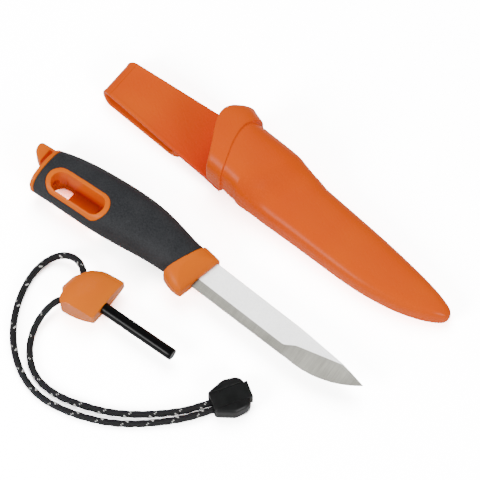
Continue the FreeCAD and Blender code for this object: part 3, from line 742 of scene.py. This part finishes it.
def make_belt_loop():
    """The strap's fold and its tongue with a raised lip, which bend down together from the upper run."""
    rings = []
    radius = FOLD_TOP / 2
    steps = 26
    for step in range(steps + 1):
        angle = math.pi / 2 + math.pi * step / steps
        way = (math.cos(angle), 0, math.sin(angle))
        inset = FOLD_INSET * math.sin(angle - math.pi / 2) ** 2
        rings.append(strap_ring(FOLD_X + radius * way[0], radius + radius * way[2], way, inset, STRAP_THICK))
    for x in (-98, -92, -86, -80, -74, -68, -63):
        rings.append(strap_ring(x, 0.0, (0, 0, -1), 0.0, STRAP_THICK))
    for x, z, inset, thick in LIP:
        rings.append(strap_ring(x, z, (0, 0, -1), inset, thick))
    points, faces = skin(rings, True, True, True)
    made = piece("belt_loop_strap", points, faces, [SHEATH_ORANGE], None)
    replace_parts(made, "belt_loop")
    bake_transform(made)


# ---------------------------------------------------------------- knife


def belly_y(x):
    """The blade's edge: two straight runs to x 62, then an arc up to the point."""
    if x <= 58.0:
        return -25.2 - 3.7 * (x + 2.0) / 60.0
    if x <= 62.0:
        return -28.9 - 0.1 * (x - 58.0) / 4.0
    (ax, ay), (bx, by), (cx, cy) = (62.0, -29.0), (84.0, -27.4), (101.0, -18.6)
    d = 2 * (ax * (by - cy) + bx * (cy - ay) + cx * (ay - by))
    a2, b2, c2 = ax * ax + ay * ay, bx * bx + by * by, cx * cx + cy * cy
    middle_x = (a2 * (by - cy) + b2 * (cy - ay) + c2 * (ay - by)) / d
    middle_y = (a2 * (cx - bx) + b2 * (ax - cx) + c2 * (bx - ax)) / d
    radius = math.hypot(ax - middle_x, ay - middle_y)
    return middle_y - math.sqrt(radius**2 - (x - middle_x) ** 2)


def spine_y(x):
    """The blade's spine, which drops to the point."""
    if x <= 58.0:
        return -7.0 - 4.5 * (x + 2.0) / 60.0
    if x <= 86.0:
        return -11.5 - 3.67 * ((x - 58.0) / 28.0) ** 1.1
    return -15.17 - 3.43 * (x - 86.0) / 15.0


def shoulder_y(x):
    """Where the flat meets the ground bevel: parallel to the edge, then sweeping up to the spine."""
    straight = -20.0 - 4.3 * (x + 2.0) / 60.0
    swept = -21.2 + 5.6 * ((x - 61.0) / 26.0) if x > 61.0 else -21.2
    return straight + (swept - straight) * ease(x, 55.5, 62.5)


BLADE_Z, BLADE_HALF = 11.8, 1.1
EDGE_HALF, POINT_HALF = 0.04, 0.05


def make_blade():
    """The blade with flat sides, a wide ground bevel that sweeps up near the point, and an eased spine."""
    stations, x = [], -4.0
    while x < 100.6:
        stations.append(x)
        x += 0.5 if 54 < x < 90 else 1.5
    stations += [100.7, 100.85]
    rings = []
    for x in stations:
        spine, edge = spine_y(x), belly_y(x)
        shoulder = min(shoulder_y(x), spine - 0.35 * (1 - ease(x, 86, 101)) - 0.02)
        spread = min(1.0, max(0.0, (spine - edge) / 8.0))
        half = BLADE_HALF * (spread if x > 86 else 1.0)
        half = max(half, POINT_HALF)
        flat = [spine + (shoulder - spine) * s for s in (0.03, 0.3, 0.65, 1.0)]
        bevel = [shoulder + (edge - shoulder) * s for s in (0.04, 0.35, 0.7, 0.985)]
        side = [(y, half) for y in flat] + [
            (y, half + (EDGE_HALF - half) * s) for y, s in zip(bevel, (0.03, 0.33, 0.69, 1.0))
        ]
        top = [(spine, half * 0.55)] + side + [(edge, 0.0)]
        under = [(y, -z) for y, z in top[-2::-1]]
        rings.append([(x, y, BLADE_Z + z) for y, z in top + under])
    points, faces = skin(rings, True, True, True)
    count, flat_count = len(rings[0]), len(flat) + 1
    picks = []
    for face in faces:
        places = [i % count for i in face]
        on_flat = all(p < flat_count or p >= count - flat_count for p in places)
        picks.append(0 if on_flat and len(face) == 4 else 1)
    made = piece("blade_steel", points, faces, [STEEL_FLAT, STEEL_BEVEL], "knife", picks, sharp=5.0)
    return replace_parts(made, "blade")


# ---------------------------------------------------------------- fire starter


ROD_SIDES = 48


def make_rod():
    """The rod as drawn stock: very slightly uneven, with a rounded cut end."""
    low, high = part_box("ferro_rod")
    middle, radius = (low + high) / (2 * MM), (high.z - low.z) / (2 * MM)
    end = high.x / MM
    profile = [
        (low.x / MM, radius),
        (end - 40, radius),
        (end - 26, radius * 0.998),
        (end - 12, radius * 0.995),
        (end - 3, radius),
        (end - 0.45, radius),
        (end - 0.2, radius - 0.08),
        (end - 0.05, radius - 0.22),
        (end, radius - 0.45),
        (end, radius * 0.5),
        (end - 0.03, 0.15),
    ]
    spokes = [2 * math.pi * step / ROD_SIDES for step in range(ROD_SIDES)]
    rings = []
    for x, r in profile:
        rings.append([(x, middle.y + r * math.cos(a), middle.z + r * math.sin(a)) for a in spokes])
    points, faces = skin(rings, True, True, True)
    made = piece("ferro_rod_bar", points, faces, [FERRO], "starter", sharp=40.0)
    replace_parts(made, "ferro_rod")


# ---------------------------------------------------------------- stage


TABLE_REACH, TABLE_Z = 3.0, -0.0001
SKY_STRENGTH = 0.25


def area_light(name, place, size, power):
    """A soft square white light at a place, aimed at the origin."""
    data = bpy.data.lights.new(name, "AREA")
    data.size, data.energy = size, power
    light = bpy.data.objects.new(name, data)
    bpy.context.scene.collection.objects.link(light)
    light.location = Vector(place)
    light.rotation_euler = Vector(place).to_track_quat("Z", "Y").to_euler()
    return light


def make_stage(blade):
    """A white table under soft studio light, and a large card that shines in the blade alone."""
    mesh = bpy.data.meshes.new("table")
    ways = ((-1, -1), (1, -1), (1, 1), (-1, 1))
    corners = [(x * TABLE_REACH, y * TABLE_REACH, TABLE_Z) for x, y in ways]
    mesh.from_pydata(corners, [], [(0, 1, 2, 3)])
    mesh.materials.append(table_look())
    table = bpy.data.objects.new("table", mesh)
    bpy.context.scene.collection.objects.link(table)
    world = bpy.data.worlds.new("studio")
    bpy.context.scene.world = world
    world.use_nodes = True
    background = world.node_tree.nodes["Background"]
    background.inputs["Color"].default_value = (1.0, 1.0, 1.0, 1.0)
    background.inputs["Strength"].default_value = SKY_STRENGTH
    area_light("key", (-0.35, -0.95, 0.6), 0.5, 7.5)
    area_light("fill", (0.95, -0.35, 0.5), 0.4, 5.0)
    # The overhead light gives the plastics no sheen; the card beside it is linked to the blade alone.
    area_light("top", (-0.35, 0.45, 1.15), 1.0, 11.5).visible_glossy = False
    card = area_light("blade_card", (-0.45, 0.6, 1.15), 2.0, 62.0)
    lit = bpy.data.collections.new("blade_card_lit")
    lit.objects.link(blade)
    card.light_linking.receiver_collection = lit


make_camera()
cord_length = make_lanyard()
make_sheath()
make_upper_strap()
make_belt_loop()
steel = make_blade()
# Name, node, voxel in millimetres, smoothing passes, material, body and slot.
for row in (
    ("handle_core_body", "handle_core", 0.42, 3, CORE_ORANGE, "knife", "orange_core"),
    ("rubber_grip_body", "rubber_grip", 0.45, 2, RUBBER, "knife", "rubber"),
    ("starter_grip_body", "starter_grip", 0.32, 4, STARTER_ORANGE, "starter", "orange_starter"),
    ("cord_end_body", "cord_end_shell", 0.26, 4, NYLON, "starter", "black_plastic"),
    ("cord_clamp_body", "cord_end_slider", 0.26, 3, NYLON, "cord_clamp", "black_plastic"),
):
    softened(*row)
make_rod()
make_stage(steel)

print("lanyard length in millimetres:", round(cord_length, 1))
